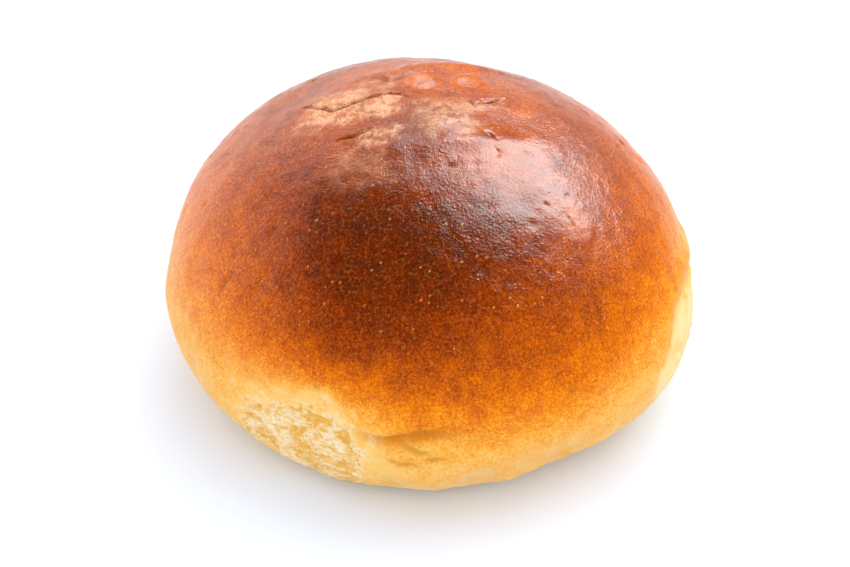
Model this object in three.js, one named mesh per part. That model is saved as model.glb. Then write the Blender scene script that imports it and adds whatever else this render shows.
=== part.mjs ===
// A soft egg-washed bread roll, baked on a tray side by side with others and pulled apart from them.
// Millimetres, +Z up. The origin is on the flat base, under the middle of the roll's bounding box.
// Headings are in degrees, counter-clockwise from +X as seen from above, so -Y, the front, is 270.
import * as THREE from "three";
import { mergeVertices } from "three/addons/utils/BufferGeometryUtils.js";

// The whole roll
const CRUST_WIDTH = 100; // across the round crust at its widest
const ROLL_HEIGHT = 57.5; // from the tray to the top of the crown
const WAIST_HEIGHT = 17.2; // where the side stands furthest out
const BASE_RADIUS = 40; // flat underside, where the dough lay on the tray
const CROWN_FULLNESS = 1.94; // superellipse exponent: 2 is a plain ellipse, less is more pointed
const SKIRT_FULLNESS = 1.05; // 1 runs in to the base as a parabola, 2 as an ellipse
const CROWN_LEAN = { heading: 180, shift: 1.4 }; // how far the crown sits to one side of the base

// Kiss faces: where a neighbouring roll touched this one in the oven, and was torn off.
// Depth is how far the neighbour pressed in, and blend how softly the face runs into the round crust.
const KISS_FACES = [
  { heading: 238, depth: 2.6, top: 25, blend: 5 },
  { heading: 9, depth: 0.4, top: 25, blend: 3 },
];
const KISS_SHOULDER = 5; // half of the height over which the crust rolls out above a kiss face

// Slow swellings of the crust: rise is how far it stands out, or in, and spread its half-width
const SWELLINGS = [
  { heading: 62, height: 50, rise: -0.6, spread: 10 },
  { heading: 118, height: 50, rise: 0.6, spread: 10 },
  { heading: 140, height: 40, rise: 1, spread: 11 },
  { heading: 165, height: 34, rise: 0.5, spread: 10 },
  { heading: 172, height: 18, rise: -0.5, spread: 10 },
  { heading: 300, height: 6, rise: -2.4, spread: 11 },
  { heading: 334, height: 20, rise: 1.2, spread: 11 },
];

// The fold low on the front, where the crust laps over the dough under it. It runs from one heading
// to the other, climbs from startHeight to endHeight, and is deepest halfway; width is half across.
const FOLD = { from: 250, to: 290, startHeight: 20.5, endHeight: 23, depth: 1, width: 2.8 };

// How finely the surface is divided
const SEGMENTS = 72; // round the roll
const CROWN_STEPS = 28; // from the waist to the top
const SKIRT_STEPS = 12; // from the base's edge to the waist
const BASE_RINGS = 2; // across the flat base

const CRUST_RADIUS = CRUST_WIDTH / 2;
const FULL_TURN = 360;
const PROBE = 0.1; // half of the step that finds which way the crust faces

// 0 below low, 1 above high, and smooth between them.
function smoothStep(value, low, high) {
  const share = THREE.MathUtils.clamp((value - low) / (high - low), 0, 1);
  return share * share * (3 - 2 * share);
}

// A unit vector in the plane of the tray.
function towards(heading) {
  const angle = THREE.MathUtils.degToRad(heading);
  return new THREE.Vector3(Math.cos(angle), Math.sin(angle), 0);
}

function headingOf(point) {
  const heading = THREE.MathUtils.radToDeg(Math.atan2(point.y, point.x));
  return (heading + FULL_TURN) % FULL_TURN;
}

// What is left of the crown's radius at a share of its height.
function crownShare(rise) {
  return Math.pow(Math.max(0, 1 - Math.pow(rise, CROWN_FULLNESS)), 1 / CROWN_FULLNESS);
}

// What is left of the skirt's overhang past the base at a share of the way down from the waist.
function skirtShare(drop) {
  return Math.pow(Math.max(0, 1 - drop * drop), 1 / SKIRT_FULLNESS);
}

// The round crust's radius at a height, before anything presses on it.
function crustRadiusAt(height) {
  if (height < WAIST_HEIGHT) {
    const drop = (WAIST_HEIGHT - height) / WAIST_HEIGHT;
    return BASE_RADIUS + (CRUST_RADIUS - BASE_RADIUS) * skirtShare(drop);
  }
  return CRUST_RADIUS * crownShare((height - WAIST_HEIGHT) / (ROLL_HEIGHT - WAIST_HEIGHT));
}

// Half of the roll's section, from the middle of the base out and over to the top.
function rollSection() {
  const points = [];
  for (let i = 0; i < BASE_RINGS; i++) {
    points.push(new THREE.Vector2((BASE_RADIUS * i) / BASE_RINGS, 0));
  }
  for (let i = 0; i < SKIRT_STEPS; i++) {
    const height = (WAIST_HEIGHT * i) / SKIRT_STEPS;
    points.push(new THREE.Vector2(crustRadiusAt(height), height));
  }
  for (let i = 0; i < CROWN_STEPS; i++) {
    const rise = Math.sin((i / CROWN_STEPS) * (Math.PI / 2));
    const height = WAIST_HEIGHT + (ROLL_HEIGHT - WAIST_HEIGHT) * rise;
    points.push(new THREE.Vector2(crustRadiusAt(height), height));
  }
  points.push(new THREE.Vector2(0, ROLL_HEIGHT));
  return points;
}

// The dough stood against its neighbour here: what would stand past the face is pressed back to it.
function pressKissFace(point, face) {
  const out = towards(face.heading);
  const reach = CRUST_RADIUS - face.depth;
  const below = 1 - smoothStep(point.z, face.top - KISS_SHOULDER, face.top + KISS_SHOULDER);
  const past = point.dot(out) - (reach - face.blend);
  if (past <= 0) {
    return;
  }
  const pressed = past < 2 * face.blend ? (past * past) / (4 * face.blend) : past - face.blend;
  point.addScaledVector(out, -pressed * below);
}

// The way the round crust faces at a heading and height.
function crustFacing(heading, height) {
  const climb = crustRadiusAt(height + PROBE) - crustRadiusAt(height - PROBE);
  const facing = towards(heading).multiplyScalar(2 * PROBE);
  facing.z = -climb;
  return facing.normalize();
}

// A slow swelling or hollow, centred on the crust at its heading and height. The base stays flat.
function swell(point, swelling) {
  const centre = towards(swelling.heading).multiplyScalar(crustRadiusAt(swelling.height));
  centre.z = swelling.height;
  const distance = point.distanceTo(centre) / swelling.spread;
  const shift = crustFacing(swelling.heading, swelling.height);
  shift.multiplyScalar(swelling.rise * Math.exp(-distance * distance));
  shift.z *= smoothStep(point.z, 0, WAIST_HEIGHT);
  point.add(shift);
}

// A soft groove that climbs along the front and runs out at both of its ends.
function foldCrust(point) {
  const along = (headingOf(point) - FOLD.from) / (FOLD.to - FOLD.from);
  if (along <= 0 || along >= 1) {
    return;
  }
  const middle = THREE.MathUtils.lerp(FOLD.startHeight, FOLD.endHeight, along);
  const offset = (point.z - middle) / FOLD.width;
  const depth = FOLD.depth * Math.sin(along * Math.PI) ** 2;
  point.addScaledVector(towards(headingOf(point)), -depth * Math.exp(-offset * offset));
}

// The crown leans over a little; the base stays where it is.
function leanCrown(point) {
  const share = point.z / ROLL_HEIGHT;
  point.addScaledVector(towards(CROWN_LEAN.heading), CROWN_LEAN.shift * share);
}

// The closed surface of the roll.
function rollGeometry() {
  const turned = new THREE.LatheGeometry(rollSection(), SEGMENTS);
  turned.rotateX(Math.PI / 2);
  turned.deleteAttribute("uv");
  turned.deleteAttribute("normal");
  const surface = mergeVertices(turned);

  const places = surface.attributes.position;
  const point = new THREE.Vector3();
  for (let i = 0; i < places.count; i++) {
    point.fromBufferAttribute(places, i);
    SWELLINGS.forEach((swelling) => swell(point, swelling));
    foldCrust(point);
    KISS_FACES.forEach((face) => pressKissFace(point, face));
    leanCrown(point);
    places.setXYZ(i, point.x, point.y, point.z);
  }
  return standOnOrigin(surface);
}

// Moves the surface so that its bounding box stands centred on the origin.
function standOnOrigin(surface) {
  surface.computeBoundingBox();
  const middle = surface.boundingBox.getCenter(new THREE.Vector3());
  return surface.translate(-middle.x, -middle.y, -surface.boundingBox.min.z);
}

function breadRoll() {
  const crust = new THREE.MeshStandardMaterial({
    color: new THREE.Color(0.62, 0.3, 0.09),
    roughness: 0.4,
    metalness: 0,
  });
  const roll = new THREE.Mesh(rollGeometry(), crust);
  roll.name = "bread_roll";
  return roll;
}

const breadRollPart = new THREE.Group();
breadRollPart.add(breadRoll());

export default breadRollPart;
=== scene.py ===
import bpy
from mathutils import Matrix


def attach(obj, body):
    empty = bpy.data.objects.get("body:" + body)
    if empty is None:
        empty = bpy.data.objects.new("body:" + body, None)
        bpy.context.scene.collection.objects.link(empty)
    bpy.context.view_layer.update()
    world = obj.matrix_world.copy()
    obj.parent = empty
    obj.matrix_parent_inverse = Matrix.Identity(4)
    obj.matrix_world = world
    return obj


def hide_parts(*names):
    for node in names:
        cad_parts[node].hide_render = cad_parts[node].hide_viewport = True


bl_info = {
    "name": "Egg-washed bread roll",
    "version": (1, 0, 0),
    "blender": (4, 5, 0),
    "location": "3D View > Sidebar > Bread",
    "description": "Bakes a soft bread roll around its solid model and sets a small studio for it",
    "category": "Add Mesh",
}

import itertools
import math

import bmesh
import bpy
import numpy as np
from bpy.props import FloatProperty, FloatVectorProperty, IntProperty, PointerProperty
from mathutils import Vector
from mathutils.bvhtree import BVHTree

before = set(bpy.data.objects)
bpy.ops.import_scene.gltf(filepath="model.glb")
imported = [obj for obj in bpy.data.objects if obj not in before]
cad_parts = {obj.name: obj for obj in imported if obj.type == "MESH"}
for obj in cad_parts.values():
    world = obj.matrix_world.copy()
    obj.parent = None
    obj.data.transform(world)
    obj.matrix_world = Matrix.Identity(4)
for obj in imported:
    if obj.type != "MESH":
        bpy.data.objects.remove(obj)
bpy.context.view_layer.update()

NODE = "bread_roll"
MM = 0.001

# The roll's own measures are in millimetres. Headings are in degrees, counter-clockwise from +X as
# seen from above, so the front, -Y, is 270.
HEART = np.array([0.0, 0.0, 16.0])  # the point inside the roll that its surface is drawn around
SIDE_RADIUS = 48.5  # turns headings into lengths round the side
NOISE_CELLS = 256
CREASED_CROWN = 45  # the crown's creases all lie above this height
UNLIT_WHITE = 1.25  # turns the surroundings' own pale grey white where the camera looks past the floor

# How high the roll has browned: heading, and the heights at which the skin starts to colour, has
# turned golden brown, and is deep brown
BAKING = [
    (20, 26, 38, 55),
    (90, 21, 37, 56),
    (150, 19, 37, 54),
    (185, 20, 38, 53),
    (215, 20, 34, 49),
    (232, 22, 30.5, 41),
    (248, 24.5, 30, 35),
    (270, 18, 26.8, 37),
    (300, 15, 26.5, 43.5),
    (330, 22.5, 33, 48),
    (350, 26, 36, 52),
]

# Lumps of the crown: where (x, y), half-length, half-width, turn of the long axis, and rise
CROWN_LUMPS = [
    (3.0, 17.5, 13.0, 2.4, 18, 1.1),
    (3.0, 4.5, 9.0, 2.4, 0, -0.45),
    (-15.0, 5.5, 7.0, 3.2, -20, 0.45),
    (-15.0, -2.5, 6.5, 3.0, 10, 0.4),
    (2.5, -5.0, 6.0, 3.4, -10, 0.5),
    (-5.5, -3.0, 5.5, 1.8, -55, -0.45),
    (-24.0, 14.0, 8.0, 5.0, 40, -0.5),
    (14.0, -2.0, 6.0, 4.0, 60, -0.3),
    (22.0, -17.0, 11.0, 8.0, -50, 0.3),
    (-4.0, -17.0, 9.0, 3.5, 5, -0.3),
    (-20.0, -18.0, 9.0, 5.0, 60, 0.35),
    (6.0, -27.0, 12.0, 4.0, 10, 0.25),
]

# Flat-topped knobs of the crown: where (x, y), half-length, half-width, rise, and forward tip
KNOBS = [
    (-1.5, 9.0, 3.2, 2.9, 0.5, 0.28),
    (7.2, 10.0, 3.1, 2.8, 0.5, 0.29),
]

# The soft edge in the crown, in plan: flatter behind it, and steeper before it
CROWN_EDGE = dict(
    route=[(-5, -11.5), (1.3, -10.8), (7.2, -9.6), (12.6, -8.1), (18, -5.9), (22, -5.2)],
    rise=0.36, width=2.3,
)

# Creases of the crown, as routes in plan
CROWN_CREASES = [
    dict(
        route=[(-23, 6.5), (-20, 3.5), (-17.5, 1.5), (-15, 1.6), (-12.5, 2.5), (-10.5, 4), (-7.5, 4.6),
               (-5.5, 4.3), (-3.8, 3)],
        depth=0.65, width=0.34, lip=0.22,
    ),
    dict(route=[(-16.5, -7.6), (-13.8, -7.8), (-11, -6.2)], depth=0.3, width=0.35, lip=0.14),
    dict(route=[(6, 3), (8.2, 1.2), (11.6, 2.7), (13.8, 5.4)], depth=0.4, width=0.38, lip=0.2),
    dict(route=[(9, 2.8), (11, 3.9), (13, 4)], depth=0.3, width=0.35, lip=0.12),
    dict(route=[(-3, 12.5), (-7.5, 11), (-12, 12.5)], depth=0.35, width=0.8, lip=0.1),
    dict(route=[(-6, -1), (-2.5, 0.6), (0, -0.4)], depth=0.25, width=0.6, lip=0.08),
    dict(route=[(10.2, -7.2), (11.8, -8.2)], depth=0.5, width=0.45, lip=0.0),
    dict(route=[(11.8, -10.5), (12.4, -11.6)], depth=0.12, width=0.25, lip=0.0),
]

# Creases of the sides, as routes of (heading, height)
SIDE_CREASES = [
    dict(route=[(314, 40), (313, 36.5), (311, 33.5), (310.5, 31)], depth=0.3, width=0.6, lip=0.1),
    dict(route=[(309.5, 38), (308, 34)], depth=0.15, width=0.5, lip=0.06),
    dict(route=[(215.5, 38), (214.5, 35.5), (214.5, 33.5)], depth=0.25, width=0.5, lip=0.08),
]

# The fold over the front skirt: the main valley and the shorter one under it
# A fold's valley_shade, 0.8 where it is not given, is how strongly its bottom is darkened with painted
# shade
FOLDS = [
    dict(
        route=[(254, 19.5), (258, 18.9), (261, 19.2), (265, 20.2), (268.5, 21), (272.5, 21), (275, 20.4)],
        depth=2.1, width=0.95, lip=1.15,
    ),
    dict(route=[(262.5, 19.2), (265.5, 18.6), (268.6, 17.4), (271, 17)], depth=0.8, width=0.7, lip=0.45),
    dict(route=[(268.6, 15.9), (270.5, 15.4), (273.2, 15.8)], depth=0.6, width=0.45, lip=0.25),
    dict(route=[(277.6, 17.2), (279, 19.4), (282, 21.2)], depth=0.35, width=1.0, lip=0.25, valley_shade=0.2),
    dict(
        route=[(334.5, 26.3), (339, 26.7), (345, 26.4), (352, 25.3), (360, 24), (368, 22.4), (378, 21)],
        depth=0.8, width=0.8, lip=0.9, valley_shade=0.6,
    ),
    dict(route=[(327.8, 20.9), (329.8, 22.2), (332, 24.4)], depth=0.4, width=0.6, lip=0.3, valley_shade=0.7),
    dict(route=[(261.5, 15.2), (264, 13.8), (266.5, 14.4), (268, 13.6)], depth=0.5, width=0.5, lip=0.25),
]

# Single pits in the glaze, in plan: (x, y, half-length, turn, depth)
PITS = [
    (20.4, -20.1, 0.55, -45, 0.12),
    (24.4, -16.7, 0.6, -50, 0.14),
    (26.2, -17.7, 0.45, -40, 0.12),
    (24.3, -21.3, 0.45, -50, 0.1),
    (25.4, -25.5, 0.6, -50, 0.1),
    (10.5, -26.7, 0.5, -30, 0.1),
]

# Dull patches that the egg wash missed, in plan: where (x, y), half-length, half-width, strength. Their
# lighter colour is partly the crust's own and partly painted sheen.
DULL_PATCHES = [
    (-15, 2, 9.5, 6.5, 1.0),
    (3, -2.5, 7.5, 5, 0.6),
    (-9.5, -9, 4.5, 3.2, 0.8),
    (-8, 9.5, 6, 2.6, 0.7),
    (-12, -15, 6, 4, 0.25),
]

# The pool of glaze on the right shoulder, in plan: where (x, y), half-length, half-width, turn
GLAZE_POOL = (15.5, -14.5, 19, 9.5, -42)

# Kiss marks: outline of the torn crumb as (heading, height), and outline of the pale skin round it.
# Stands is how far the crumb stands out, pocks how deep its holes are, pale how bare the skin is,
# torn how open the crumb is, and ragged how uneven both outlines are.
KISS_MARKS = [
    dict(
        heading=240,
        crumb=[(223.5, 12.5), (225.5, 16), (229, 17.6), (235, 19.4), (241, 21), (247, 21.6), (251, 20.8),
               (254.5, 18.2), (256.8, 15.5), (256, 9), (253.5, 4), (249, 1.8), (242, 1.8), (237, 4),
               (231, 7), (226, 7.6)],
        skin=[(219, 12), (222, 17), (228, 21.5), (236, 24.5), (245, 27), (251, 26), (256, 22.5),
              (262, 18), (264, 11), (262, 3), (252, 0.5), (238, 0.5), (226, 2.5), (221, 6)],
        stands=0.0, pocks=1.1, pale=0.1, torn=1.0, ragged=2.0,
    ),
    dict(
        heading=7,
        crumb=[(344, 11), (347, 16.5), (356, 19.5), (368, 18.5), (380, 17.5), (390, 15), (395, 11),
               (390, 5), (378, 3), (362, 3), (350, 5)],
        skin=[(323.5, 12), (325, 17.8), (327.4, 20.5), (329.3, 21.8), (331.3, 23.8), (333, 25),
              (335, 26.1), (338.5, 26.4), (344, 26), (350, 25), (358, 23.6), (366, 22), (386, 20.5),
              (399, 19), (407, 15), (409, 10), (403, 2), (384, 0.3), (350, 0.3), (330, 1.5), (326, 5)],
        stands=0.45, pocks=0.9, pale=0.92, torn=0.8, ragged=2.4,
    ),
]

# Unevenness of the lower edge, as (heading, height, spread, rise)
EDGE_LUMPS = [
    (246, 4.5, 6.5, 0.4),
    (230, 9, 5.0, 0.3),
    (206, 15, 5.0, -1.1),
    (262, 6.5, 2.6, -0.6),
    (268.5, 6.5, 4.2, 0.35),
    (281, 6.5, 4.0, -0.8),
    (289, 5, 3.2, 0.8),
    (296, 5.5, 3.2, 0.5),
    (302.5, 6.5, 2.2, -0.75),
    (312, 7, 4.0, 0.45),
    (330, 8, 6.0, 0.4),
    (40, 6, 5.0, -0.5),
    (75, 7, 6.0, 0.5),
    (110, 6, 5.0, -0.6),
    (150, 6, 6.0, 0.5),
    (180, 8, 5.0, -0.4),
    (187, 19, 5.0, 0.6),
]


class RollShape(bpy.types.PropertyGroup):
    """How the roll's surface is drawn"""

    fineness: IntProperty(
        name="Fineness", description="Cells along each side of the surface's six patches",
        default=106, min=16, max=300,
    )
    evening: IntProperty(
        name="Evening", description="Passes that smooth the solid's facets away", default=50, min=0,
    )
    lumps: FloatProperty(
        name="Lumps", description="Height of the slow lumps of the crust",
        default=0.00028, unit="LENGTH", precision=5,
    )
    blisters: FloatProperty(
        name="Blisters", description="Height of the small blisters of the crust",
        default=0.000075, unit="LENGTH", precision=5,
    )
    grain: FloatProperty(
        name="Grain", description="Height of the finest unevenness, drawn in the material",
        default=0.000135, unit="LENGTH", precision=5,
    )


def colour(label, what, red, green, blue):
    """A colour property whose default is given as the usual 0 to 255 screen values."""
    linear = [((v / 255 + 0.055) / 1.055) ** 2.4 if v > 10 else v / 255 / 12.92 for v in (red, green, blue)]
    return FloatVectorProperty(
        name=label, description=what, subtype="COLOR", size=3, min=0, max=1, default=linear,
    )


class RollColours(bpy.types.PropertyGroup):
    """The colours that the oven gives the roll, from the pale skirt to the crown"""

    skin: colour("Skin", "Pale skirt that the neighbours kept from browning", 254, 201, 108)
    golden: colour("Golden", "Crust that has only begun to brown", 254, 180, 56)
    amber: colour("Amber", "Crust under the shoulder", 246, 145, 5)
    orange: colour("Orange", "Crust at the shoulder", 230, 113, 0)
    rust: colour("Rust", "Crust above the shoulder", 180, 76, 0)
    brown: colour("Brown", "Crown", 134, 46, 0)
    dark: colour("Dark", "Darkest patches of the crown", 84, 27, 0)
    # Partly the dull crust's own paler tone, partly painted sheen: the matt reflection of the pale walls
    # painted in as a lighter colour
    dusty_and_sheen: colour("Dusty", "Dull patches of the crown that the egg wash missed", 240, 180, 134)
    # Partly the crust's own lighter flecks, partly painted glints: bright dots where the glaze would catch
    # the light
    speck_and_glint: colour("Speck", "Tiny raised blisters", 255, 176, 70)
    kiss: colour("Kiss mark", "Bare dough that stood against a neighbour", 248, 224, 156)
    crumb: colour("Crumb", "Torn crumb", 255, 229, 180)
    # Painted shade and painted highlight of the crumb: its holes and low places are darkened with the
    # hollow colour, its raised fibres lightened with the wisp colour
    crumb_hollow_shade: colour("Crumb hollow", "Bottom of the crumb's holes", 242, 182, 70)
    wisp_highlight: colour("Wisps", "Finest threads of the crumb", 255, 240, 214)
    # Painted shade: the bottoms of the folds are darkened with this deep golden where shade falls in them
    fold: colour("Fold", "Bottom of the folds", 222, 152, 40)
    # Painted shade: creases, pinholes and pits are darkened with this colour where shade falls in them
    crease: colour("Crease", "Bottom of the creases", 92, 36, 8)


def brightness(label, what, default):
    """How bright a lamp or a part of the surroundings is."""
    return FloatProperty(name=label, description=what, default=default, min=0)


class Studio(bpy.types.PropertyGroup):
    """The camera, the floor and the lights"""

    distance: FloatProperty(
        name="Distance", description="From the camera to the roll", default=0.4518, unit="LENGTH",
    )
    elevation: FloatProperty(
        name="Elevation", description="How far the camera looks down",
        default=math.radians(37), subtype="ANGLE",
    )
    lens: FloatProperty(name="Lens", description="Focal length", default=100, min=20, unit="CAMERA")
    aim: FloatVectorProperty(
        name="Aim", description="The point that the camera looks at",
        default=(-0.00087, 0, 0.01687), subtype="TRANSLATION", precision=5,
    )
    key: brightness("Key", "Softbox that the glaze reflects", 12.8)
    sun: brightness("Soft key", "Light that the soft key adds to white", 0.5)
    dome: brightness("Dome", "Even light from all around", 1.36)
    walls: brightness("Walls", "Walls behind, in the glaze", 0.9)
    left: brightness("Left", "Left screens, in the glaze", 1.5)
    behind: brightness("Behind", "Rear screens, in the glaze", 2.5)
    right: brightness("Right", "Small right screen, in the glaze", 3.4)
    rear: brightness("Rear", "Rear window, in the glaze", 12)
    glow: colour("Floor glow", "Cool light that the floor passes on from under it", 50, 78, 94)
    floor: colour("Floor", "Plain floor", 234, 240, 255)


# Noise, and other measures of places on the surface


def smooth_step(value, low, high):
    share = np.clip((value - low) / (high - low), 0, 1)
    return share * share * (3 - 2 * share)


def bell(distance):
    return np.exp(-np.square(distance))


def shuffled(seed):
    draws = np.random.default_rng(seed)
    order = draws.permutation(NOISE_CELLS)
    return np.concatenate([order, order]), draws


def pick_cell(order, cell):
    x, y, z = (cell & (NOISE_CELLS - 1)).T
    return order[order[order[x] + y] + z]


def ripple(places, size, seed):
    """Smooth noise between about -1 and 1, with waves about size across."""
    order, draws = shuffled(seed)
    slopes = draws.normal(size=(NOISE_CELLS, 3))
    slopes /= np.linalg.norm(slopes, axis=1)[:, None]
    scaled = places / size
    cell = np.floor(scaled).astype(int)
    within = scaled - cell
    ease = within**3 * (within * (within * 6 - 15) + 10)
    total = np.zeros(len(places))
    for corner in itertools.product((0, 1), repeat=3):
        slope = slopes[pick_cell(order, cell + corner)]
        weight = np.prod(np.where(corner, ease, 1 - ease), axis=1)
        total += weight * ((within - corner) * slope).sum(axis=1)
    return total * 1.6  # about what brings the highest waves to 1


def rough(places, size, seed, octaves=3, gain=0.5):
    """Ripples on ripples, each half as wide as the last."""
    waves = [ripple(places, size / 2**k, seed + k) * gain**k for k in range(octaves)]
    return np.sum(waves, axis=0)


def scattered(places, size, seed):
    """How far the nearest of points scattered about size apart is, in sizes, and that point's own share."""
    order, draws = shuffled(seed)
    jitter = draws.random((NOISE_CELLS, 3))
    shares = draws.random(NOISE_CELLS)
    scaled = places / size
    cell = np.floor(scaled).astype(int)
    nearest = np.full(len(places), 9.0)
    share = np.zeros(len(places))
    for step in itertools.product((-1, 0, 1), repeat=3):
        pick = pick_cell(order, cell + step)
        distance = np.linalg.norm(scaled - (cell + step + jitter[pick]), axis=1)
        closer = distance < nearest
        nearest[closer] = distance[closer]
        share[closer] = shares[pick[closer]]
    return nearest, share


def in_oval(plan, x, y, length, width, turn=0):
    """How far out each place lies from an oval's middle, which is 1 at its edge."""
    turned = math.radians(turn)
    away = plan - (x, y)
    along = away @ (math.cos(turned), math.sin(turned)) / length
    across = away @ (-math.sin(turned), math.cos(turned)) / width
    return np.hypot(along, across)


def along_route(flat, route):
    """The distance to a route, which side of it, and the share of the way along it."""
    stops = np.array(route, float)
    steps = np.linalg.norm(np.diff(stops, axis=0), axis=1)
    walked = np.concatenate([[0], np.cumsum(steps)])
    nearest = np.full(len(flat), 1e3)
    side = np.ones(len(flat))
    share = np.zeros(len(flat))
    for k, (start, end) in enumerate(zip(stops[:-1], stops[1:])):
        leg = end - start
        part = np.clip((flat - start) @ leg / (leg @ leg), 0, 1)
        away = flat - start - part[:, None] * leg
        distance = np.linalg.norm(away, axis=1)
        closer = distance < nearest
        nearest[closer] = distance[closer]
        side[closer] = np.sign(leg[0] * away[:, 1] - leg[1] * away[:, 0])[closer]
        share[closer] = ((walked[k] + part * steps[k]) / walked[-1])[closer]
    return nearest, side, share


def unroll(route, heading):
    """A route of headings and heights as lengths round the side, from a heading, and heights."""
    return [(math.radians((h - heading + 180) % 360 - 180) * SIDE_RADIUS, z) for h, z in route]


def inside_outline(flat, outline):
    """How deep a point lies inside a closed outline; outside it, less than 0."""
    corners = np.array(outline, float)
    crossed = np.zeros(len(flat), bool)
    nearest = along_route(flat, [*outline, outline[0]])[0]
    for (ax, ay), (bx, by) in zip(corners, np.roll(corners, -1, axis=0)):
        spans = (ay > flat[:, 1]) != (by > flat[:, 1])
        with np.errstate(divide="ignore", invalid="ignore"):
            cut = ax + (flat[:, 1] - ay) * (bx - ax) / (by - ay)
        crossed ^= spans & (flat[:, 0] < cut)
    return np.where(crossed, nearest, -nearest)


# The surface


def draw_grid(cells):
    """A cube's grid of points, drawn out to a ball: unit directions, quads, and the quads' map corners."""
    ticks = np.arange(cells + 1)
    a, b = (tick.ravel() for tick in np.meshgrid(ticks, ticks, indexing="ij"))
    index = np.arange((cells + 1) ** 2).reshape(cells + 1, cells + 1)
    cell = np.stack([index[:-1, :-1], index[1:, :-1], index[1:, 1:], index[:-1, 1:]], axis=-1)
    cell = cell.reshape(-1, 4)
    points, quads, corners = [], [], []
    margin = 0.01  # between the six patches of the map
    for face in range(6):
        axis, high = face // 2, face % 2
        point = np.zeros((len(a), 3), int)
        point[:, axis] = cells * high
        point[:, (axis + 1) % 3] = a
        point[:, (axis + 2) % 3] = b
        quad = cell if high else cell[:, ::-1]
        quads.append(quad + face * len(a))
        points.append(point)
        place = margin + np.stack([a, b], axis=1) / cells * (1 - 2 * margin)
        corners.append(((place + [face % 3, face // 3]) / [3, 2])[quad])
    points = np.concatenate(points)
    quads = np.concatenate(quads)
    points, merged = np.unique(points, axis=0, return_inverse=True)
    spread = np.tan((points / cells * 2 - 1) * math.pi / 4)
    ways = spread / np.linalg.norm(spread, axis=1)[:, None]
    return ways, merged.reshape(-1)[quads], np.concatenate(corners)


def favour_sides(ways):
    """Turns directions that point down towards the side, so that the flat base gets fewer points."""
    flat = np.linalg.norm(ways[:, :2], axis=1)
    drop = np.arctan2(ways[:, 2], flat)
    share = np.clip(-drop / (math.pi / 2), 0, 1)
    turned = np.where(drop < 0, drop * (0.6 + 0.4 * share**2), drop)
    level = ways[:, :2] / np.maximum(flat, 1e-9)[:, None]
    return np.concatenate([level * np.cos(turned)[:, None], np.sin(turned)[:, None]], axis=1)


def lay_on_solid(ways):
    """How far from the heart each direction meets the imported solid."""
    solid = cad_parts[NODE].data
    corners = [vertex.co / MM for vertex in solid.vertices]
    tree = BVHTree.FromPolygons(corners, [face.vertices[:] for face in solid.polygons])
    heart = Vector(HEART)
    reaches = [tree.ray_cast(heart, Vector(way))[3] for way in ways]
    if None in reaches:
        raise RuntimeError("the solid has a gap: a line from its heart leaves without meeting it")
    return np.array(reaches)


def neighbours_of(quads, count):
    """Each edge once, both ways round, and how many edges each point has."""
    edges = np.concatenate([quads[:, [k, (k + 1) % 4]] for k in range(4)])
    edges = np.unique(np.sort(edges, axis=1), axis=0)
    return edges, np.bincount(edges.ravel(), minlength=count)


def even_out(values, quads, passes):
    """Smooths values over the surface, which takes the solid's facets away."""
    edges, valence = neighbours_of(quads, len(values))
    for _ in range(passes):
        total = np.bincount(edges[:, 0], values[edges[:, 1]], len(values))
        total += np.bincount(edges[:, 1], values[edges[:, 0]], len(values))
        values = (values + total / valence) / 2
    return values


class Crust:
    """Places on the roll before its relief, and what is worked out for each of them."""

    def __init__(self, mesh):
        count = len(mesh.vertices)
        place = np.empty(count * 3)
        facing = np.empty(count * 3)
        mesh.vertices.foreach_get("co", place)
        mesh.vertex_normals.foreach_get("vector", facing)
        self.place = place.reshape(-1, 3) / MM
        self.facing = facing.reshape(-1, 3)
        self.height = self.place[:, 2]
        self.heading = np.degrees(np.arctan2(self.place[:, 1], self.place[:, 0])) % 360
        self.plan = self.place[:, :2]
        self.on_crown = smooth_step(self.height, 38, 46)
        self.relief = np.zeros(count)
        self.masks = {}

    def unrolled(self, heading):
        """Places as lengths round the side and heights, with the seam opposite the heading."""
        turned = (self.heading - heading + 180) % 360 - 180
        return np.stack([np.radians(turned) * SIDE_RADIUS, self.height], axis=1)

    def route_on_side(self, route):
        """A route of headings and heights, and every place, on the same unrolled side."""
        middle = sum(heading for heading, _ in route) / len(route)
        return self.unrolled(middle), unroll(route, middle)

    def mark(self, name, values):
        """Keeps the strongest of a mask's values."""
        self.masks[name] = np.maximum(self.masks.get(name, 0), np.clip(values, 0, 1))


def press_crease(crust, flat, crease, seed, keep=1.0):
    """A groove with a soft lip on each side, shallower towards its ends, with painted shade marked along
    its bottom.
    """
    wander = ripple(crust.place, 2.2, seed) * 0.35
    distance, side, share = along_route(flat, crease["route"])
    distance = np.abs(distance * side + wander)
    width = crease["width"]
    taper = np.sqrt(np.clip(np.sin(np.pi * np.clip(share, 0.06, 0.94)), 0, 1)) * keep
    depth = crease["depth"] * (1 + 0.5 * ripple(crust.place, 3.0, seed + 1))
    groove = bell(distance / width)
    lip = bell((distance - 2.2 * width) / (1.4 * width))
    crust.relief += taper * (crease["lip"] * lip - depth * groove)
    # The crease mask is painted shade: the material darkens the groove's bottom with it
    crust.mark("crease", taper * bell(distance / (0.9 * width)) * min(1, crease["depth"] / 0.5))


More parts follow.
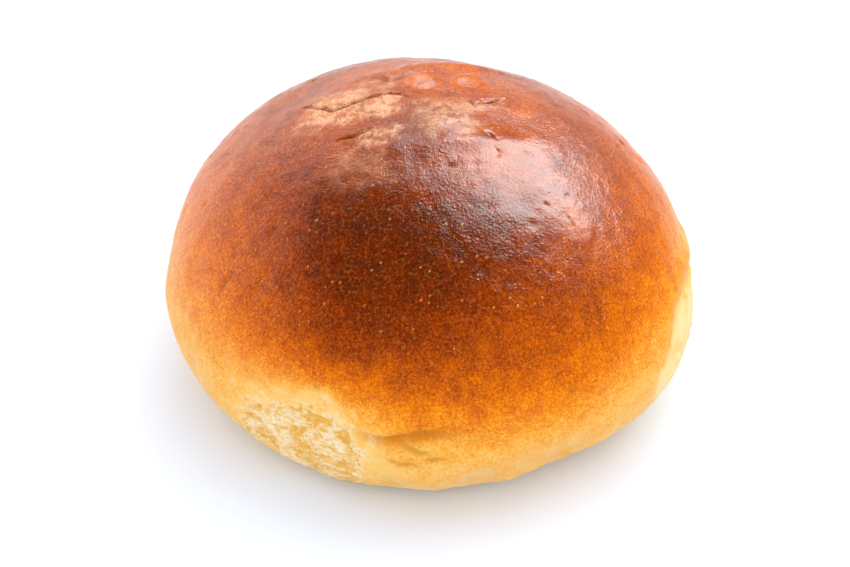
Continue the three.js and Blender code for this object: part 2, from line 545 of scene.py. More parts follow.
def lap_fold(crust, fold, seed):
    """A valley whose upper side bulges over it, as dough that lapped over itself."""
    flat, route = crust.route_on_side(fold["route"])
    distance, side, share = along_route(flat, route)
    signed = distance * side + 0.3 * ripple(crust.place, 3.0, seed)
    taper = np.sin(np.pi * np.clip(share, 0.04, 0.96)) ** 0.6
    width = fold["width"]
    valley = bell(signed / width)
    upper = bell((signed - 2.4 * width) / (1.8 * width))
    lower = bell((signed + 2.6 * width) / (1.6 * width))
    crust.relief += taper * (fold["lip"] * (upper + 0.5 * lower) - fold["depth"] * valley)
    # The fold mask is painted shade: the material darkens the valley's bottom with it
    crust.mark("fold", fold.get("valley_shade", 0.8) * taper * bell((signed + 0.3 * width) / (0.8 * width)))


def raise_lumps(crust):
    """Slow lumps over the whole roll, and the crown's own lumps, knobs and soft edge."""
    settings = bpy.context.scene.bread_roll_shape
    crust.relief += settings.lumps / MM * rough(crust.place, 15, seed=11, gain=0.45)
    for x, y, length, width, turn, rise in CROWN_LUMPS:
        crust.relief += rise * bell(in_oval(crust.plan, x, y, length, width, turn)) * crust.on_crown
    for x, y, length, width, rise, tip in KNOBS:
        top = 1 - smooth_step(in_oval(crust.plan, x, y, length, width), 0.6, 1.35)
        crust.relief += (rise + tip * (crust.plan[:, 1] - y)) * top * crust.on_crown
    distance, _, share = along_route(crust.plan, CROWN_EDGE["route"])
    taper = np.sin(np.pi * np.clip(share, 0.08, 0.92)) ** 0.5
    ridge = taper * bell(distance / CROWN_EDGE["width"])
    crust.relief += CROWN_EDGE["rise"] * ridge * crust.on_crown


def raise_edge(crust):
    """Uneven lower edge, where the dough spread on the tray."""
    for heading, height, spread, rise in EDGE_LUMPS:
        away = crust.unrolled(heading) - (0, height)
        crust.relief += rise * bell(np.hypot(*away.T) / spread)
    low = 1 - smooth_step(crust.height, 5, 16)
    crust.relief += 0.25 * low * rough(crust.place, 6, seed=31)


def raise_blisters(crust):
    """Small blisters and pebbling, and scattered pinholes in the glaze, with painted shade marked in the
    pinholes and pits.
    """
    settings = bpy.context.scene.bread_roll_shape
    height = settings.blisters / MM
    high = smooth_step(crust.height, 16, 30)
    distance, share = scattered(crust.place, 2.4, seed=41)
    dots = smooth_step(share, 0.45, 1) * np.clip(1 - (distance / 0.42) ** 2, 0, 1)
    crust.relief += high * height * 2 * dots
    crust.relief += height * (0.35 + 0.65 * high) * rough(crust.place, 1.9, seed=42, octaves=2)
    distance, share = scattered(crust.place, 5.5, seed=43)
    holes = (share > 0.55) * bell(distance / 0.11)
    crust.relief -= high * 0.35 * holes
    # Painted shade in the pinholes, through the crease mask
    crust.mark("crease", high * 0.8 * holes)
    for x, y, length, turn, depth in PITS:
        pit = bell(in_oval(crust.plan, x, y, length, 0.55 * length, turn)) * crust.on_crown
        crust.relief -= depth * pit
        # Painted shade in the pits, through the crease mask
        crust.mark("crease", 0.7 * pit)


def tear_kiss_mark(crust, mark, seed):
    """Torn crumb where a neighbour was pulled away, inside a rim of pale stretched skin."""
    flat = crust.unrolled(mark["heading"])
    ragged = mark["ragged"] * rough(crust.place, 4.5, seed, octaves=4, gain=0.6)
    depth = inside_outline(flat, unroll(mark["crumb"], mark["heading"])) + ragged

    # The skin's rim is crisp only where it faces the front, above the base
    loose = np.maximum(smooth_step(flat[:, 0], -30, -18), 1 - smooth_step(crust.height, 3, 15))
    rim = inside_outline(flat, unroll(mark["skin"], mark["heading"])) + ragged * (0.25 + 0.95 * loose)
    crumb = smooth_step(depth, -0.25, 0.45)
    skin = smooth_step(rim, -1.5, 4.0)

    # Fibres of dough, pulled up and to the right, with hollows between them
    warped = crust.place + np.stack([rough(crust.place, 3.5, seed + 20 + k) for k in range(3)], axis=1)
    pulled = warped @ np.array([[0.9, 0.2, 0.5], [-0.4, 0.9, 0.2], [-0.35, -0.3, 0.85]]).T
    fibres = np.zeros(len(depth))
    for size, height, k in ((2.6, 0.5, 0), (1.4, 0.32, 1), (0.8, 0.2, 2)):
        fibres += height * (0.55 - 2.2 * np.abs(ripple(pulled * (0.5, 1, 1.2), size, seed + 5 + k)))
    pocks = np.zeros(len(depth))
    for size, k in ((4.2, 0), (2.6, 1), (1.6, 2)):
        distance, share = scattered(warped * (1, 1, 1.25), size, seed + 10 + k)
        pocks += smooth_step(share, 0.45, 0.85) * bell(distance / 0.33) * (size / 4.2) ** 0.7
    pocks = np.clip(pocks, 0, 1)
    heaps = rough(warped, 5, seed + 30, gain=0.6)
    flakes = bell((depth + 1.6) / 1.5) * smooth_step(ripple(pulled, 1.8, seed + 9), 0.0, 0.35)
    crumb = np.maximum(crumb, 0.75 * flakes * smooth_step(crust.height, 12, 16))
    torn = crumb * mark["torn"]
    crust.relief += torn * (0.42 * fibres + 0.35 * heaps - 0.3 * mark["pocks"] * pocks)
    crust.relief += mark["stands"] * smooth_step(depth, -0.8, 2.0)

    # A thin torn edge of skin stands up round the crumb
    edge = bell((depth + 0.35) / 0.5) * (0.4 + 1.1 * ripple(crust.place, 2.0, seed + 8))
    edge = np.clip(edge, 0, 1) * mark["torn"]
    crust.relief += 0.4 * edge
    crust.mark("crumb", torn)
    # The hollow mask is painted shade: the crumb's holes and low places, darkened in the material
    crust.mark("hollow", torn * np.clip(0.3 + 0.9 * pocks - 0.8 * fibres - 0.6 * heaps, 0, 1))
    crust.mark("skin", skin)
    crust.mark("pale", mark["pale"] * smooth_step(rim, -0.5, 1.1 + 4.5 * loose))
    crust.mark("torn edge", edge)


def brown(crust):
    """How far each place has browned, from 0 at the skirt to 1 on the crown."""
    headings, *lines = zip(*BAKING)
    skin, golden, rust = (np.interp(crust.heading, headings, line, period=360) for line in lines)
    height = crust.height + 0.9 * rough(crust.place, 14, seed=51, octaves=4)
    height += 0.5 * rough(crust.place, 3, seed=55)
    first = 0.15 * height / skin
    second = 0.15 + 0.3 * (height - skin) / (golden - skin)
    third = 0.45 + 0.3 * (height - golden) / (rust - golden)
    last = 0.75 + 0.2 * (height - rust) / 8
    baked = np.select([height < skin, height < golden, height < rust], [first, second, third], last)
    baked = np.where(baked > 0.9, 0.9 + 0.3 * (baked - 0.9), baked)
    # Painted highlight: a little less browned under the glaze pool and the knobs, where the key's
    # reflection falls
    return baked - 0.16 * smooth_step(crust.height, 50.5, 54.5) - 0.06 * crust.masks["pooled"]


def dull_patches(crust):
    """Where the egg wash missed the crown and left it dull."""
    ragged = 2.2 * rough(crust.place, 5, seed=61, octaves=5, gain=0.75)
    dull = np.zeros(len(crust.relief))
    for x, y, length, width, strength in DULL_PATCHES:
        away = in_oval(crust.plan, x, y, length, width)
        dull = np.maximum(dull, strength * smooth_step((1 - away) * width + ragged, -1.4, 2.8))
    return dull * crust.on_crown


def pooled_glaze(crust):
    """Where the egg wash ran together, on the right shoulder and the knobs, and dried smooth; the crust
    there is also painted a little lighter, a painted highlight.
    """
    ragged = 0.25 * rough(crust.place, 5, seed=71, octaves=4, gain=0.6)
    pooled = smooth_step(1 - in_oval(crust.plan, *GLAZE_POOL) + ragged, -0.1, 0.35)
    pooled *= smooth_step(crust.height, 32, 40)
    for x, y, length, width, *_ in KNOBS:
        knob = 1 - smooth_step(in_oval(crust.plan, x, y, length, width), 0.8, 1.3)
        pooled = np.maximum(pooled, knob * crust.on_crown)
    return pooled


def grow_mesh(name):
    """The roll's fine surface, still smooth, with its map."""
    settings = bpy.context.scene.bread_roll_shape
    ways, quads, corners = draw_grid(settings.fineness)
    ways = favour_sides(ways)
    reach = even_out(lay_on_solid(ways), quads, settings.evening)
    places = (HEART + ways * reach[:, None]) * MM
    mesh = bpy.data.meshes.new(name)
    mesh.from_pydata(places.tolist(), [], quads.tolist())
    layer = mesh.uv_layers.new(name="OFBake")
    layer.uv.foreach_set("vector", corners.reshape(-1))
    mesh.update()
    return mesh


def refine(mesh, chosen):
    """Halves the cells whose corners are all chosen."""
    work = bmesh.new()
    work.from_mesh(mesh)
    work.verts.ensure_lookup_table()
    faces = [face for face in work.faces if all(chosen[vertex.index] for vertex in face.verts)]
    edges = {edge for face in faces for edge in face.edges}
    bmesh.ops.subdivide_edges(work, edges=sorted(edges, key=lambda e: e.index), cuts=1, use_grid_fill=True)
    bmesh.ops.triangulate(work, faces=[face for face in work.faces if len(face.verts) > 4])
    work.to_mesh(mesh)
    work.free()
    mesh.update()


def inside_crumb(crust):
    """The places of the torn crumb that faces the front."""
    mark = KISS_MARKS[0]
    outline = unroll(mark["crumb"], mark["heading"])
    return inside_outline(crust.unrolled(mark["heading"]), outline) > -1


def near_creases(crust, reach):
    """The places within reach of the crown's creases."""
    chosen = np.zeros(len(crust.relief), bool)
    for crease in CROWN_CREASES:
        chosen |= along_route(crust.plan, crease["route"])[0] < reach
    return chosen & (crust.height > CREASED_CROWN)


def needs_most_detail(mesh):
    """The places of that crumb and of the crown's creases."""
    crust = Crust(mesh)
    return inside_crumb(crust) | near_creases(crust, 0.9)


def needs_detail(mesh):
    """The places of the torn crumb, the folds, the pits and the crown's creases."""
    crust = Crust(mesh)
    chosen = inside_crumb(crust) | near_creases(crust, 1.2)
    for fold in FOLDS:
        flat, route = crust.route_on_side(fold["route"])
        chosen |= along_route(flat, route)[0] < 1.6
    for x, y, *_ in PITS:
        chosen |= (np.hypot(*(crust.plan - (x, y)).T) < 1.2) & (crust.height > 38)
    return chosen


def shape_roll(mesh):
    """Works the relief into the mesh and keeps its masks as attributes for the material."""
    crust = Crust(mesh)
    raise_lumps(crust)
    raise_edge(crust)
    raise_blisters(crust)
    for k, crease in enumerate(CROWN_CREASES):
        press_crease(crust, crust.plan, crease, 100 + 3 * k, crust.on_crown)
    for k, crease in enumerate(SIDE_CREASES):
        flat, route = crust.route_on_side(crease["route"])
        press_crease(crust, flat, dict(crease, route=route), 140 + 3 * k)
    for k, fold in enumerate(FOLDS):
        lap_fold(crust, fold, 170 + k)
    for k, mark in enumerate(KISS_MARKS):
        tear_kiss_mark(crust, mark, 200 + 40 * k)
    crust.mark("dull", dull_patches(crust))
    crust.mark("pooled", pooled_glaze(crust))
    crust.masks["baked"] = brown(crust)

    lift = smooth_step(crust.height, 0.0, 2.5)
    moved = crust.place + crust.facing * (crust.relief * lift)[:, None]
    moved[:, 2] = np.maximum(moved[:, 2], 0)
    mesh.vertices.foreach_set("co", (moved * MM).ravel())
    for name, values in crust.masks.items():
        layer = mesh.attributes.new(name, "FLOAT", "POINT")
        layer.data.foreach_set("value", np.ascontiguousarray(values, dtype=np.float32))
    mesh.polygons.foreach_set("use_smooth", np.ones(len(mesh.polygons), bool))
    mesh.update()


# Materials


def feed(tree, socket, value):
    """Links an input to the socket that feeds it, or sets its plain value."""
    if isinstance(value, bpy.types.NodeSocket):
        tree.links.new(value, socket)
    else:
        socket.default_value = value


def add_node(tree, kind, inputs=(), **settings):
    """A node with its settings, and its inputs' values or the sockets that feed them."""
    node = tree.nodes.new(kind)
    for name, value in settings.items():
        setattr(node, name, value)
    for name, value in dict(inputs).items():
        feed(tree, node.inputs[name], value)
    return node


def maths(tree, operation, *values, clamp=False):
    inputs = dict(enumerate(values))
    return add_node(tree, "ShaderNodeMath", inputs, operation=operation, use_clamp=clamp).outputs[0]


def fit_range(tree, value, low, high, to_low=0.0, to_high=1.0):
    inputs = {"Value": value, "From Min": low, "From Max": high, "To Min": to_low, "To Max": to_high}
    return add_node(tree, "ShaderNodeMapRange", inputs, interpolation_type="SMOOTHSTEP").outputs[0]


def blend_colours(tree, share, first, second):
    inputs = {0: share, 6: first, 7: second}
    return add_node(tree, "ShaderNodeMix", inputs, data_type="RGBA", clamp_factor=True).outputs[2]


def blend_values(tree, share, first, second):
    inputs = {0: share, 2: first, 3: second}
    return add_node(tree, "ShaderNodeMix", inputs, data_type="FLOAT", clamp_factor=True).outputs[0]


def solid(rgb):
    return (*rgb, 1.0)


def new_group(name, inputs, outputs):
    """An empty shader node group with named sockets."""
    group = bpy.data.node_groups.new(name, "ShaderNodeTree")
    for label, kind, default in inputs:
        socket = group.interface.new_socket(label, in_out="INPUT", socket_type=kind)
        if default is not None:
            socket.default_value = default
    for label, kind in outputs:
        group.interface.new_socket(label, in_out="OUTPUT", socket_type=kind)
    return group, group.nodes.new("NodeGroupInput"), group.nodes.new("NodeGroupOutput")


def use_group(tree, group, **inputs):
    """Places a group in a tree, with its inputs named by their labels in lower case."""
    node = tree.nodes.new("ShaderNodeGroup")
    node.node_tree = group
    for socket in node.inputs:
        value = inputs.get(socket.name.lower())
        if value is not None:
            feed(tree, socket, value)
    return node


def scattered_specks():
    """Dots of uneven size, scattered about Size apart."""
    group, start, end = new_group(
        "Scattered specks",
        [("Vector", "NodeSocketVector", None), ("Size", "NodeSocketFloat", 0.002),
         ("Crowding", "NodeSocketFloat", 0.5), ("Reach", "NodeSocketFloat", 0.3)],
        [("Specks", "NodeSocketFloat")],
    )
    scale = maths(group, "DIVIDE", 1.0, start.outputs["Size"])
    cells = add_node(group, "ShaderNodeTexVoronoi", {"Vector": start.outputs["Vector"], "Scale": scale})
    share = add_node(group, "ShaderNodeSeparateColor", {"Color": cells.outputs["Color"]}).outputs[0]
    kept = maths(group, "SUBTRACT", start.outputs["Crowding"], share)
    kept = maths(group, "MULTIPLY", kept, 4.0, clamp=True)
    reach = maths(group, "MULTIPLY", start.outputs["Reach"], kept)
    dots = maths(group, "DIVIDE", cells.outputs["Distance"], maths(group, "ADD", reach, 0.001))
    dots = maths(group, "SUBTRACT", 1.0, dots, clamp=True)
    group.links.new(maths(group, "MULTIPLY", dots, kept), end.inputs["Specks"])
    return group


def noise(tree, vector, size, detail=3.0, roughness=0.55):
    inputs = {"Vector": vector, "Scale": 1.0 / size, "Detail": detail, "Roughness": roughness}
    return add_node(tree, "ShaderNodeTexNoise", inputs).outputs[0]


def baked_crust_group(specks):
    """Crust: colour by how far it has browned, mottled, speckled and pebbled, with painted shade in the
    creases, painted glints among the specks and painted sheen on the dull patches.
    """
    group, start, end = new_group(
        "Baked crust",
        [("Vector", "NodeSocketVector", None), ("Baked", "NodeSocketFloat", 0.5),
         ("Dull", "NodeSocketFloat", 0.0), ("Pooled", "NodeSocketFloat", 0.0),
         ("Crease", "NodeSocketFloat", 0.0)],
        [("Color", "NodeSocketColor"), ("Roughness", "NodeSocketFloat"), ("Height", "NodeSocketFloat")],
    )
    colours = bpy.context.scene.bread_roll_colours
    vector = start.outputs["Vector"]
    coarse = noise(group, vector, 0.0035, 4.0, 0.6)
    fine = noise(group, vector, 0.00055, 2.0, 0.6)
    grit = noise(group, vector, 0.00025, 2.0, 0.6)
    mottle = maths(group, "MULTIPLY_ADD", coarse, 0.35, -0.715)
    mottle = maths(group, "MULTIPLY_ADD", fine, 0.5, mottle)
    mottle = maths(group, "MULTIPLY_ADD", grit, 0.58, mottle)
    baked = maths(group, "ADD", start.outputs["Baked"], mottle, clamp=True)
    ramp = add_node(group, "ShaderNodeValToRGB", {"Fac": baked})
    stops = (
        (0.0, colours.skin), (0.15, colours.golden), (0.3, colours.amber), (0.43, colours.orange),
        (0.62, colours.rust), (0.8, colours.brown), (1.0, colours.dark),
    )
    while len(ramp.color_ramp.elements) < len(stops):
        ramp.color_ramp.elements.new(0.5)
    for element, (place, tone) in zip(ramp.color_ramp.elements, stops):
        element.position = place
        element.color = solid(tone)
    tone = ramp.outputs["Color"]
    wander = maths(group, "MULTIPLY", grit, 0.0006)
    bent = add_node(group, "ShaderNodeVectorMath", {0: vector, 1: wander}).outputs[0]
    dots = use_group(group, specks, vector=bent, size=0.0014, crowding=0.45, reach=0.2).outputs[0]
    curls = fit_range(group, noise(group, vector, 0.0006, 2.0, 0.6), 0.52, 0.68)
    browned = fit_range(group, start.outputs["Baked"], 0.15, 0.5)
    curls = maths(group, "MULTIPLY", curls, 0.1)
    # The dots and curls lighten the crust towards the speck colour: partly its own lighter flecks, partly
    # painted glints
    lit = maths(group, "MAXIMUM", maths(group, "MULTIPLY", dots, 0.8), curls)
    lit = maths(group, "MULTIPLY", lit, browned)
    tone = blend_colours(group, lit, tone, solid(colours.speck_and_glint))
    patchy = fit_range(group, noise(group, vector, 0.002, 4.0, 0.75), 0.38, 0.6, 0.25, 1.5)
    sandy = fit_range(group, fine, 0.32, 0.6, 0.35, 0.95)
    dull = maths(group, "MULTIPLY", start.outputs["Dull"], sandy)
    dull = maths(group, "MULTIPLY", dull, patchy, clamp=True)
    # Dull patches lightened towards the dusty colour: partly their own tone, partly painted sheen
    dusty_and_sheen = fit_range(group, grit, 0.32, 0.5)
    dusty_and_sheen = blend_colours(group, dusty_and_sheen, solid(colours.rust), solid(colours.dusty_and_sheen))
    tone = blend_colours(group, dull, tone, dusty_and_sheen)
    # Painted shade: creases, pinholes and pits darkened towards the crease colour
    creased = maths(group, "MULTIPLY", start.outputs["Crease"], 0.75)
    tone = blend_colours(group, creased, tone, solid(colours.crease))
    glaze = fit_range(group, coarse, 0.35, 0.65, 0.13, 0.19)
    bare = fit_range(group, start.outputs["Baked"], 0.1, 0.5, 0.5, 0.0)
    matt = maths(group, "ADD", glaze, maths(group, "MULTIPLY", bare, 0.45))
    matt = maths(group, "ADD", matt, maths(group, "MULTIPLY", start.outputs["Dull"], 0.22), clamp=True)
    pebbles = maths(group, "MULTIPLY_ADD", grit, 0.35, fine)
    height = maths(group, "MULTIPLY_ADD", dots, 0.5, pebbles)
    pin = use_group(group, specks, vector=vector, size=0.0016, crowding=0.5, reach=0.2).outputs[0]
    height = maths(group, "MULTIPLY_ADD", pin, -0.7, height)
    smoothed = fit_range(group, start.outputs["Pooled"], 0.0, 1.0, 1.0, 0.5)
    height = maths(group, "MULTIPLY", height, smoothed)
    group.links.new(tone, end.inputs["Color"])
    group.links.new(matt, end.inputs["Roughness"])
    group.links.new(height, end.inputs["Height"])
    return group


def torn_crumb_group(specks):
    """Crumb: pale fibres over golden hollows, the holes and low places darkened with painted shade and the
    raised fibres lightened with a painted highlight.
    """
    group, start, end = new_group(
        "Torn crumb",
        [("Vector", "NodeSocketVector", None), ("Hollow", "NodeSocketFloat", 0.0)],
        [("Color", "NodeSocketColor"), ("Height", "NodeSocketFloat")],
    )
    colours = bpy.context.scene.bread_roll_colours
    pulled = add_node(group, "ShaderNodeMapping", {
        "Vector": start.outputs["Vector"], "Rotation": (0.3, 0.6, 0.9), "Scale": (0.4, 1.0, 1.0),
    }).outputs[0]
    fibres = noise(group, pulled, 0.0006, 4.0, 0.7)
    cells = use_group(
        group, specks, vector=start.outputs["Vector"], size=0.0014, crowding=0.7, reach=0.45,
    ).outputs[0]
    # Painted shade: the holes and the low places between the fibres take the hollow colour
    deep = maths(group, "ADD", start.outputs["Hollow"], fit_range(group, fibres, 0.6, 0.36, -0.15, 0.5))
    deep = maths(group, "ADD", deep, maths(group, "MULTIPLY", cells, 0.4), clamp=True)
    tone = blend_colours(group, deep, solid(colours.crumb), solid(colours.crumb_hollow_shade))
    # Painted highlight: the raised fibres are lightened towards the wisp colour
    wisp_highlights = maths(group, "MULTIPLY", fit_range(group, fibres, 0.54, 0.66), 0.7)
    tone = blend_colours(group, wisp_highlights, tone, solid(colours.wisp_highlight))
    holes = maths(group, "MULTIPLY", cells, 0.8)
    height = maths(group, "SUBTRACT", maths(group, "MULTIPLY", fibres, 2.6), holes)
    group.links.new(tone, end.inputs["Color"])
    group.links.new(height, end.inputs["Height"])
    return group


def attribute(tree, name):
    return add_node(tree, "ShaderNodeAttribute", attribute_name=name).outputs["Fac"]


def crust_material():
    """One surface that runs from glazed crown to bare skirt and torn crumb."""
    material = bpy.data.materials.new("Baked crust")
    material.use_nodes = True
    tree = material.node_tree
    shader = tree.nodes["Principled BSDF"]
    vector = add_node(tree, "ShaderNodeTexCoord").outputs["Object"]
    specks = scattered_specks()
    colours = bpy.context.scene.bread_roll_colours

    skin = attribute(tree, "skin")
    crumb = attribute(tree, "crumb")
    kept = maths(tree, "SUBTRACT", 1.0, maths(tree, "MULTIPLY", skin, 0.85))
    paled = maths(tree, "MULTIPLY", attribute(tree, "baked"), kept)
    crust = use_group(
        tree, baked_crust_group(specks), vector=vector, baked=paled,
        dull=attribute(tree, "dull"), pooled=attribute(tree, "pooled"), crease=attribute(tree, "crease"),
    )
    torn = use_group(tree, torn_crumb_group(specks), vector=vector, hollow=attribute(tree, "hollow"))
    tone = crust.outputs["Color"]
    blotches = fit_range(tree, noise(tree, vector, 0.006, 5.0, 0.75), 0.42, 0.68, 0.0, 0.5)
    kiss = blend_colours(tree, blotches, solid(colours.kiss), solid(colours.golden))
    tone = blend_colours(tree, attribute(tree, "pale"), tone, kiss)
    # Painted shade: fold valleys darkened towards the fold colour
    tone = blend_colours(tree, attribute(tree, "fold"), tone, solid(colours.fold))
    tone = blend_colours(tree, crumb, tone, torn.outputs["Color"])
    edge = maths(tree, "MULTIPLY", attribute(tree, "torn edge"), 0.7)
    tone = blend_colours(tree, edge, tone, solid(colours.crumb))
    tree.links.new(tone, shader.inputs["Base Color"])

    bare = maths(tree, "MAXIMUM", crumb, maths(tree, "MULTIPLY", skin, 0.6))
    matt = blend_values(tree, bare, crust.outputs["Roughness"], 0.9)
    tree.links.new(matt, shader.inputs["Roughness"])
    height = blend_values(tree, crumb, crust.outputs["Height"], torn.outputs["Height"])
    grain = bpy.context.scene.bread_roll_shape.grain
    bump = add_node(tree, "ShaderNodeBump", {"Height": height, "Distance": grain, "Strength": 1.0})
    tree.links.new(bump.outputs["Normal"], shader.inputs["Normal"])
    shader.inputs["IOR"].default_value = 1.42
    shader.inputs["Specular IOR Level"].default_value = 0.5
    return material


def floor_material():
    """Plain matt floor with the faintest unevenness."""
    material = bpy.data.materials.new("Plain floor")
    material.use_nodes = True
    tree = material.node_tree
    shader = tree.nodes["Principled BSDF"]
    vector = add_node(tree, "ShaderNodeTexCoord").outputs["Object"]
    settings = bpy.context.scene.bread_roll_studio
    paler = [min(1, v * 1.02) for v in settings.floor]
    cloudy = noise(tree, vector, 0.25, 2.0)
    tone = blend_colours(tree, cloudy, solid(settings.floor), solid(paler))
    tree.links.new(tone, shader.inputs["Base Color"])
    shader.inputs["Roughness"].default_value = 0.9
    shader.inputs["Specular IOR Level"].default_value = 0.1
    shader.inputs["Emission Color"].default_value = solid(settings.glow)
    shader.inputs["Emission Strength"].default_value = 1.0
    return material


# The stage


def way_to(heading, elevation):
    turn, rise = math.radians(heading), math.radians(elevation)
    return Vector((math.cos(rise) * math.cos(turn), math.cos(rise) * math.sin(turn), math.sin(rise)))


def add_softbox(name, heading, elevation, across, high, strength, turn=0.0):
    """A square lamp that shines at the roll; across and high are the degrees that it fills."""
    far = 1.2
    lamp = bpy.data.lights.new(name, "AREA")
    lamp.shape = "RECTANGLE"
    lamp.size = 2 * far * math.tan(math.radians(across / 2))
    lamp.size_y = 2 * far * math.tan(math.radians(high / 2))
    lamp.energy = strength * math.pi * lamp.size * lamp.size_y
    box = bpy.data.objects.new(name, lamp)
    way = way_to(heading, elevation)
    box.location = way * far
    box.rotation_euler = way.to_track_quat("Z", "Y").to_euler()
    box.rotation_euler.rotate_axis("Z", math.radians(turn))
    bpy.context.scene.collection.objects.link(box)
    return box


def lay_floor():
    """The floor's plane, a hair below the roll."""
    mesh = bpy.data.meshes.new("floor")
    half = 3.0
    corners = [(-half, -half, 0), (half, -half, 0), (half, half, 0), (-half, half, 0)]
    mesh.from_pydata(corners, [], [(0, 1, 2, 3)])
    floor = bpy.data.objects.new("floor", mesh)
    floor.location.z = -0.0001
    mesh.materials.append(floor_material())
    bpy.context.scene.collection.objects.link(floor)
    floor.visible_glossy = False


def toward(tree, way, heading, elevation, reach, softness):
    """1 in directions within reach of one, running out over softness; both in degrees."""
    inputs = {0: way, 1: tuple(way_to(heading, elevation))}
    dot = add_node(tree, "ShaderNodeVectorMath", inputs, operation="DOT_PRODUCT").outputs["Value"]
    outer = math.cos(math.radians(reach + softness))
    inner = math.cos(math.radians(reach))
    return fit_range(tree, dot, outer, inner)


def light_surroundings():
    """Even light for the dull surfaces; for glossy ones, pale walls behind and at the sides only."""
    settings = bpy.context.scene.bread_roll_studio
    world = bpy.data.worlds.new("Studio")
    bpy.context.scene.world = world
    world.use_nodes = True
    world.cycles.sampling_method = "NONE"  # so that each kind of ray meets its own light
    tree = world.node_tree
    tree.nodes.clear()
    way = add_node(tree, "ShaderNodeTexCoord").outputs["Generated"]
    across, back, up = add_node(tree, "ShaderNodeSeparateXYZ", {"Vector": way}).outputs

    # The table on the left and behind, the walls above it, and more light low on the far wall
    aside = fit_range(tree, maths(tree, "MULTIPLY_ADD", across, -0.35, back), -0.45, -0.05)
    table = maths(tree, "MULTIPLY", aside, fit_range(tree, up, 0.08, -0.08))
    wall = maths(tree, "MULTIPLY", fit_range(tree, back, 0.0, 0.5), fit_range(tree, up, 0.95, 0.8))
    grazed = maths(tree, "MULTIPLY", fit_range(tree, back, 0.4, 0.8), fit_range(tree, up, 0.4, 0.1))
    shine = maths(tree, "MAXIMUM", table, wall)
    shine = maths(tree, "MULTIPLY_ADD", grazed, 0.5, shine)

    # The right end of the walls stands in shade
    dimmed = maths(tree, "MULTIPLY", toward(tree, way, 60, 6, 13, 14), 0.45)
    shaded = maths(tree, "MAXIMUM", toward(tree, way, 28, -3, 20, 14), dimmed)
    shine = maths(tree, "MULTIPLY", shine, maths(tree, "MULTIPLY_ADD", shaded, -0.8, 1.0))
    shine = maths(tree, "MULTIPLY", shine, settings.walls)

    # Round screens: heading, elevation, reach and softness in degrees, and brightness
    screens = (
        (165, 18, 12, 18, settings.left),
        (150, -2, 8, 14, settings.left * 0.5),
        (115, 32, 10, 10, settings.behind * 1.25),
        (128, 20, 8, 14, settings.behind * 0.7),
        (10, 33, 4, 11, settings.right),
    )
    for heading, elevation, reach, softness, strength in screens:
        screen = toward(tree, way, heading, elevation, reach, softness)
        shine = maths(tree, "MAXIMUM", shine, maths(tree, "MULTIPLY", screen, strength))

    rays = add_node(tree, "ShaderNodeLightPath").outputs
    light = blend_values(tree, rays["Is Glossy Ray"], settings.dome, shine)
    light = blend_values(tree, rays["Is Camera Ray"], light, UNLIT_WHITE)
    glow = add_node(tree, "ShaderNodeBackground", {"Strength": light})
    out = add_node(tree, "ShaderNodeOutputWorld")
    tree.links.new(glow.outputs[0], out.inputs["Surface"])


def place_camera():
    """The camera, in front of the roll and looking down at it."""
    settings = bpy.context.scene.bread_roll_studio
    camera = bpy.data.objects.new("camera", bpy.data.cameras.new("camera"))
    camera.data.lens = settings.lens
    camera.data.sensor_width = 36
    aim = Vector(settings.aim)
    back = way_to(270, math.degrees(settings.elevation))
    camera.location = aim + back * settings.distance
    camera.rotation_euler = back.to_track_quat("Z", "Y").to_euler()
    bpy.context.scene.collection.objects.link(camera)
    bpy.context.scene.camera = camera


class BREAD_OT_bake_roll(bpy.types.Operator):
    """Bake the roll: its crust, kiss marks, folds and base, as one surface around the solid model"""

    bl_idname = "bread.bake_roll"
    bl_label = "Bake the roll"

    def execute(self, context):
        mesh = grow_mesh("roll")
        refine(mesh, needs_detail(mesh))
        refine(mesh, needs_most_detail(mesh))
        shape_roll(mesh)
        mesh.materials.append(crust_material())
        roll = bpy.data.objects.new("roll", mesh)
        context.scene.collection.objects.link(roll)
        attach(roll, "root")
        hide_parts(NODE)
        return {"FINISHED"}


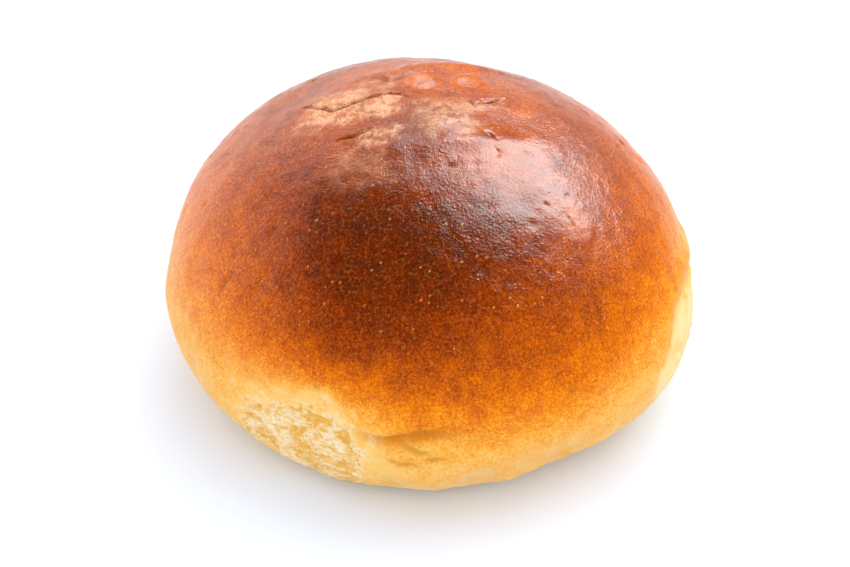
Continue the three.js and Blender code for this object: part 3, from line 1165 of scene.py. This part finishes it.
class BREAD_OT_set_studio(bpy.types.Operator):
    """Set the studio: floor, lights and camera"""

    bl_idname = "bread.set_studio"
    bl_label = "Set the studio"

    def execute(self, context):
        settings = context.scene.bread_roll_studio
        lay_floor()
        light_surroundings()
        key = add_softbox("key", 38.5, 50, 33, 40, settings.key, turn=-16)
        key.visible_diffuse = False
        rear = add_softbox("rear window", 83, 54, 15, 13, settings.rear)
        rear.visible_diffuse = False
        broad = 60
        filled = 4 * math.tan(math.radians(broad / 2)) ** 2
        soft = add_softbox("soft key", 50, 55, broad, broad, settings.sun * math.pi / filled)
        soft.visible_glossy = False
        place_camera()
        context.scene.view_settings.view_transform = "Standard"
        return {"FINISHED"}


class BREAD_PT_panel(bpy.types.Panel):
    """Everything that makes the roll, in order"""

    bl_label = "Bread roll"
    bl_idname = "BREAD_PT_panel"
    bl_space_type = "VIEW_3D"
    bl_region_type = "UI"
    bl_category = "Bread"

    def draw(self, context):
        scene = context.scene
        for settings in (scene.bread_roll_shape, scene.bread_roll_colours):
            for name in settings.__annotations__:
                self.layout.prop(settings, name)
        self.layout.operator(BREAD_OT_bake_roll.bl_idname)
        for name in scene.bread_roll_studio.__annotations__:
            self.layout.prop(scene.bread_roll_studio, name)
        self.layout.operator(BREAD_OT_set_studio.bl_idname)


CLASSES = (RollShape, RollColours, Studio, BREAD_OT_bake_roll, BREAD_OT_set_studio, BREAD_PT_panel)


def register():
    for item in CLASSES:
        bpy.utils.register_class(item)
    bpy.types.Scene.bread_roll_shape = PointerProperty(type=RollShape)
    bpy.types.Scene.bread_roll_colours = PointerProperty(type=RollColours)
    bpy.types.Scene.bread_roll_studio = PointerProperty(type=Studio)


def unregister():
    del bpy.types.Scene.bread_roll_studio
    del bpy.types.Scene.bread_roll_colours
    del bpy.types.Scene.bread_roll_shape
    for item in reversed(CLASSES):
        bpy.utils.unregister_class(item)


def main():
    register()
    bpy.ops.bread.bake_roll()
    bpy.ops.bread.set_studio()


if __name__ == "__main__":
    main()
